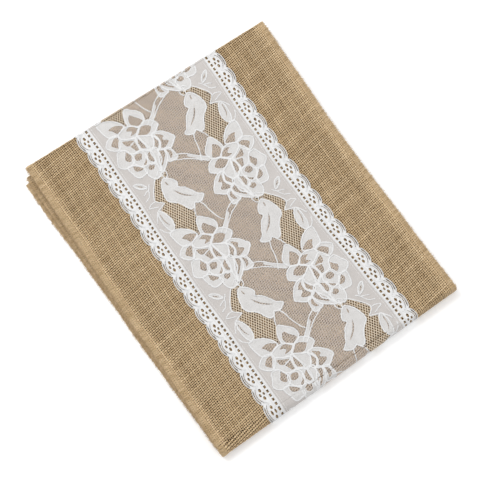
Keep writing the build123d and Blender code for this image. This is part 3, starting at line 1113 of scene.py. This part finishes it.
def slab(name, v_range, u_low, u_high, w_low, w_high, step_u, step_v, material, body, replaces, u_edge=None):
    """A closed thin sheet over a stretch of the cloth. u_edge(v) can pull its sides in and out."""
    rows = max(3, int(math.ceil((v_range[1] - v_range[0]) / step_v)) + 1)
    columns = max(3, int(math.ceil((u_high - u_low) / step_u)) + 1)
    v = np.linspace(v_range[0] + END_GAP, v_range[1] - END_GAP, rows)
    share = np.linspace(0, 1, columns)
    low = np.full(rows, u_low)
    high = np.full(rows, u_high)
    if u_edge is not None:
        low = -u_edge(v) + (u_low + u_high) / 2
        high = u_edge(v) + (u_low + u_high) / 2
    u = low[:, None] + (high - low)[:, None] * share[None, :]
    vv = np.broadcast_to(v[:, None], u.shape)
    top = np.stack([u, vv, np.full(u.shape, w_high)], -1).reshape(-1, 3)
    bottom = np.stack([u, vv, np.full(u.shape, w_low)], -1).reshape(-1, 3)
    grid = np.arange(rows * columns).reshape(rows, columns)
    quads = np.stack([grid[:-1, :-1], grid[:-1, 1:], grid[1:, 1:], grid[1:, :-1]], -1).reshape(-1, 4)
    rim = np.concatenate([grid[0, :], grid[1:, -1], grid[-1, -2::-1], grid[-2:0:-1, 0]])
    under = rows * columns
    after = np.roll(rim, -1)
    walls = np.stack([rim, rim + under, after + under, after], -1)
    points = np.concatenate([top, bottom])
    world = place(points[:, 0], points[:, 1], points[:, 2])
    piece = new_piece(name, world, [quads, quads[:, ::-1] + under], [walls], material)
    attach(piece, body, replaces)
    return piece


def thickness_of(name):
    """Half thickness of the yarns' outer surface, which is finer where the panels face each other."""
    return 0.68 if name in ("panel_2", "fold_1", "fold_2") else 0.47


HAIRS = 2200
DETAILED = ("panel_1", "fold_1", "panel_2", "fold_2", "panel_3", "fold_3", "panel_4")


def body_of_span(span):
    """The body a span rides on, or None for a fold at the hinge."""
    if not span["flat"] and span["hinge"]:
        return None
    return BODY_OF[span["n"]]


def make_burlap():
    """A dark sheet of painted shade under the yarns and the yarns, or a plain slab where the cloth never
    shows.
    """
    for span in spans:
        name = span["name"]
        kind, number = name.split("_")
        v_range = span_range(name)
        body = body_of_span(span)
        node = f"burlap_{kind}_{number}"
        detailed = name in DETAILED
        half = 0.12 if detailed else 0.42
        # Under drawn yarns the sheet is painted shade, dark brown, so that the holes between the yarns look
        # shaded.
        material = PAINTED_SHADE_CORE if detailed else WOVEN
        step = 6.0 if kind == "panel" else 0.8
        piece = slab(
            f"burlap_shade_sheet_and_cloth_{name}", v_range, -148.0, 148.0, -half, half, 6.0, step, material, body, [node]
        )
        yarns = []
        if detailed:
            fine = name in ("panel_2", "fold_1", "fold_2")
            half_high = 0.36 if fine else 0.25
            rise = 0.30 if fine else 0.20
            per_crossing = 2 if name == "panel_2" else (4 if kind == "fold" else 1)
            sides = 5 if fine else 4
            parts = 3 if name == "panel_2" else 1
            yarns = weave(name, v_range, body, half_high, rise, sides, per_crossing, parts)
        if name == "panel_2":
            yarns += loose_hairs(name, v_range, HAIRS, body)


make_burlap()


def ribbon_edge(v):
    """Half width of the ribbon, out to its scalloped rim."""
    return arc_reach(along_scallop(v), RIM_VALLEY, RIM_PEAK)


def make_lace():
    """The ribbon on each span, in full detail, or as a plain sheet where it never shows."""
    for span in spans:
        name = span["name"]
        kind, number = name.split("_")
        v_range = list(span_range(name))
        if name == "panel_1":
            v_range[0] += BAND
        if name == "panel_8":
            v_range[1] -= BAND
        body = body_of_span(span)
        node = f"lace_{kind}_{number}"
        w = thickness_of(name)
        if name in DETAILED:
            fine = name in ("panel_2", "fold_1", "fold_2")
            draw = np.random.default_rng(SEED + int(number) + (50 if kind == "fold" else 0))
            step = 1.0 if fine else 2.0
            ground = Pile(v_range)
            ribbon_sheet(ground, solid_field, v_range, step, w + 0.04, w + 0.22)
            petals = ground.finish(f"lace_petals_{name}", LACE, body, [node], True)
            plain = Pile(v_range)
            ribbon_sheet(plain, tulle_field, v_range, step, w + 0.02, w + 0.18)
            plain.finish(f"lace_plain_{name}", TULLE, body, bowed=True)
            border = Pile(v_range)
            border_sheet(border, v_range, 0.55 if fine else 0.8, w + 0.04, w + 0.24)
            border.finish(f"lace_border_{name}", CORD, body, bowed=True)
            cords = Pile(v_range)
            lift, flat = (0.26, 1.0) if fine else (0.22, 0.6)
            flower_cords(cords, v_range, w + lift, 0.9 if fine else 1.8, 5 if fine else 4, flat, draw)
            cords.finish(f"lace_cords_{name}", CORD, body, bowed=True)
            rims = Pile(v_range)
            border_cords(rims, v_range, w + lift, 0.9 if fine else 1.6, 5 if fine else 4, flat, draw)
            rims.finish(f"lace_rims_{name}", CORD, body, bowed=True)
            nets = Pile(v_range)
            bend_step = 4.0 if kind == "panel" else 0.8
            for angle, pitch, half_wide, rise in FINE_NET:
                if fine or rise:
                    level = w + 0.1 + rise
                    net(nets, fine_field, v_range, pitch, math.radians(angle), half_wide, level, bend_step)
            open_net = Pile(v_range)
            for angle in (58, -58):
                net(open_net, coarse_open, v_range, 2.46, math.radians(angle), 0.45, w + 0.16, bend_step)
            for label, pile, material in (("net", nets, NET), ("open_net", open_net, OPEN_NET)):
                if pile.count:
                    pile.finish(f"lace_{label}_{name}", material, body, bowed=True)
        else:
            step = 2.6 if kind == "panel" else 0.5
            petals = slab(
                f"lace_ribbon_{name}", v_range, RIBBON_SHIFT - 90, RIBBON_SHIFT + 90, 0.47, 0.80, 9.0, step,
                TULLE, body, [node], u_edge=ribbon_edge,
            )
        if kind == "panel":
            flat = (2 * RIM_PEAK * MM, (v_range[1] - v_range[0]) * MM)


make_lace()

# ---------------------------------------------------------------- overlock and stitches

LOOP_PITCH = 1.15
THREAD_SPANS = {
    "lower": ("panel_1", "panel_8", "panel_5", "fold_4", "panel_4"),
    "upper": ("panel_3", "fold_2", "panel_2", "panel_6", "fold_6", "panel_7"),
    "fold": ("fold_1", "fold_3", "fold_5", "fold_7"),
}
THREAD_BODIES = {"lower": LOWER, "upper": UPPER, "fold": None}


def overlock_loops(pile, v_range, side, half_high, draw):
    """Thread wound round a long edge, one loop after another."""
    loops = max(1, int(round((v_range[1] - v_range[0]) / LOOP_PITCH)))
    per_loop = 10
    turn = np.arange(loops * per_loop + 1) / per_loop
    angle = 2 * math.pi * turn
    wobble = np.interp(turn, np.arange(loops + 1), draw.uniform(-0.3, 0.3, loops + 1))
    out = np.interp(turn, np.arange(loops + 1), draw.uniform(-0.25, 0.35, loops + 1))
    reach = HALF_WIDTH - BAND / 2 + (BAND / 2 - 0.3) * np.cos(angle)
    reach = reach + np.where(np.cos(angle) > 0, out, wobble)
    lean = 0.9 * np.sign(np.sin(angle)) * np.cos(angle)
    v = v_range[0] + (v_range[1] - v_range[0]) * turn / loops + lean * 0.5
    v = np.clip(v, v_range[0] + 0.55, v_range[1] - 0.55)
    w = half_high * np.sin(angle)
    tone = np.repeat(np.interp(turn, np.arange(loops + 1), draw.uniform(0.13, 0.47, loops + 1)), 4)
    pile.tube(np.stack([side * reach, v, w], 1), 0.50, 0.26, 4, tone=tone)
    inner = HALF_WIDTH - BAND + 0.2 + draw.uniform(-0.15, 0.15, loops + 1)
    chain_v = np.linspace(v_range[0], v_range[1], loops + 1)
    for level in (half_high, -half_high):
        path = np.stack([side * inner, chain_v, np.full(loops + 1, level)], 1)
        pile.tube(path, 0.38, 0.22, 4, tone=0.26)


def fray(pile, v_range, side, count, draw):
    """Short loose fibres standing out of an edge."""
    for start in draw.uniform(v_range[0], v_range[1], count):
        length = draw.uniform(0.8, 2.6)
        sway = draw.uniform(-1.6, 1.6)
        rise = draw.uniform(-0.5, 0.5)
        t = np.linspace(0, 1, 4)
        u = HALF_WIDTH - 0.6 + length * t
        v = np.clip(start + sway * t * t, v_range[0], v_range[1])
        w = rise * t * (1.5 - t)
        pile.tube(np.stack([side * u, v, w], 1), 0.11, 0.11, 3, tone=draw.uniform(0.2, 0.5))


def end_loops(pile, at_v, inwards, draw):
    """Thread wound round a cut end of the cloth."""
    half = HALF_WIDTH - 0.5
    loops = int(2 * half / LOOP_PITCH)
    turn = np.arange(loops * 10 + 1) / 10
    angle = 2 * math.pi * turn
    u = -half + 2 * half * turn / loops
    out = np.interp(turn, np.arange(loops + 1), draw.uniform(-0.3, 0.3, loops + 1))
    depth = BAND / 2 - (BAND / 2 - 0.3) * np.cos(angle) + out
    v = at_v + inwards * np.maximum(depth, 0.0)
    w = 0.62 * np.sin(angle)
    tone = np.repeat(np.interp(turn, np.arange(loops + 1), draw.uniform(0.13, 0.47, loops + 1)), 4)
    pile.tube(np.stack([u, v, w], 1), 0.46, 0.26, 4, tone=tone)


def make_overlock():
    """Thread round the long edges, in one piece for each group of spans, and round both ends."""
    for side_name, side in (("left", -1), ("right", 1)):
        for group, names in THREAD_SPANS.items():
            pile = Pile()
            draw = np.random.default_rng(SEED + len(group) * 10 + side)
            for name in names:
                v_range = span_range(name)
                pile.v_range = v_range
                overlock_loops(pile, v_range, side, 0.60, draw)
                if group != "fold":
                    fray(pile, v_range, side, int((v_range[1] - v_range[0]) * 0.9), draw)
            node = f"overlock_{side_name}_{group}"
            piece = pile.finish(f"{node}_thread", OVERLOCK, THREAD_BODIES[group], [node])
    ends = Pile()
    draw = np.random.default_rng(SEED + 5)
    end_loops(ends, 0.0, 1, draw)
    end_loops(ends, cloth_length, -1, draw)
    piece = ends.finish("overlock_ends_thread", OVERLOCK, LOWER, ["overlock_ends"])


make_overlock()

STITCH_LINE = 71.0
STITCH_PITCH = 3.2


def make_stitches():
    """Two lines of running stitches that hold the ribbon."""
    for group, names in THREAD_SPANS.items():
        pile = Pile()
        for name in names:
            v_low, v_high = span_range(name)
            if name == "panel_1":
                v_low += BAND
            if name == "panel_8":
                v_high -= BAND
            top = thickness_of(name) + 0.19
            count = max(1, int((v_high - v_low) / STITCH_PITCH))
            starts = np.linspace(v_low, v_high, count + 1)[:-1]
            pitch = (v_high - v_low) / count
            for side in (-1, 1):
                for start in starts:
                    t = np.linspace(0.08, 0.92, 5)
                    v = start + pitch * t
                    w = top + 0.10 * np.sin(math.pi * t)
                    u = np.full(5, side * STITCH_LINE + RIBBON_SHIFT)
                    pile.tube(np.stack([u, v, w], 1), 0.20, 0.13, 4)
        node = f"stitching_{group}"
        piece = pile.finish(f"{node}_thread", STITCH, THREAD_BODIES[group], [node], True)


make_stitches()

# ---------------------------------------------------------------- floor, light, camera


def make_floor():
    """A wide pale sheet of paper, lit a little from within so that it stays nearly white."""
    mesh = bpy.data.meshes.new("floor")
    size = 6.0
    corners = [(-size, -size, 0), (size, -size, 0), (size, size, 0), (-size, size, 0)]
    mesh.from_pydata(corners, [], [(0, 1, 2, 3)])
    look = Look("floor_paper", roughness=0.9)
    look.color(look.noise((30, 30, 30), detail=2.0), [(0.0, (0.93, 0.93, 0.93)), (1.0, (0.97, 0.97, 0.97))])
    look.fill(look.shader.inputs["Emission Color"], (1.0, 1.0, 1.0, 1.0))
    look.fill(look.shader.inputs["Emission Strength"], 0.12)
    mesh.materials.append(look.material)
    floor = bpy.data.objects.new("floor", mesh)
    bpy.context.collection.objects.link(floor)


def aim(thing, position, direction):
    """Puts a lamp or camera at a place, looking along a direction."""
    thing.location = position
    thing.rotation_euler = Vector(direction).to_track_quat("-Z", "Y").to_euler()


def make_light(name, position, size, power):
    lamp = bpy.data.lights.new(name, "AREA")
    lamp.size = size
    lamp.energy = power
    holder = bpy.data.objects.new(name, lamp)
    bpy.context.collection.objects.link(holder)
    aim(holder, position, [-c for c in position])


def make_world(strength):
    world = bpy.data.worlds.new("studio")
    world.use_nodes = True
    back = world.node_tree.nodes["Background"]
    back.inputs["Color"].default_value = (1.0, 1.0, 1.0, 1.0)
    back.inputs["Strength"].default_value = strength
    bpy.context.scene.world = world


CAMERA_AZIMUTH = -34.66
CAMERA_ELEVATION = 71.35
CAMERA_DISTANCE = 2.037
CAMERA_LENS = 140.1
CAMERA_AIM = (cloth_x - 4.88, -25.3, stack_height)


def make_camera():
    """Looks at CAMERA_AIM, given in millimetres, from CAMERA_DISTANCE, in metres."""
    azimuth = math.radians(CAMERA_AZIMUTH)
    elevation = math.radians(CAMERA_ELEVATION)
    direction = np.array(
        [
            -math.sin(azimuth) * math.cos(elevation),
            math.cos(azimuth) * math.cos(elevation),
            -math.sin(elevation),
        ]
    )
    camera = bpy.data.cameras.new("camera")
    camera.lens = CAMERA_LENS
    camera.sensor_width = 36.0
    camera.clip_end = 50.0
    holder = bpy.data.objects.new("camera", camera)
    bpy.context.collection.objects.link(holder)
    aim(holder, tuple(np.array(CAMERA_AIM) * MM - direction * CAMERA_DISTANCE), tuple(direction))
    bpy.context.scene.camera = holder


make_floor()
make_world(0.72)
make_light("key", (-0.6, 1.6, 2.2), 1.6, 42)
make_light("fill", (1.4, -0.8, 2.4), 2.2, 16)
make_camera()
bpy.context.scene.view_settings.view_transform = "Standard"
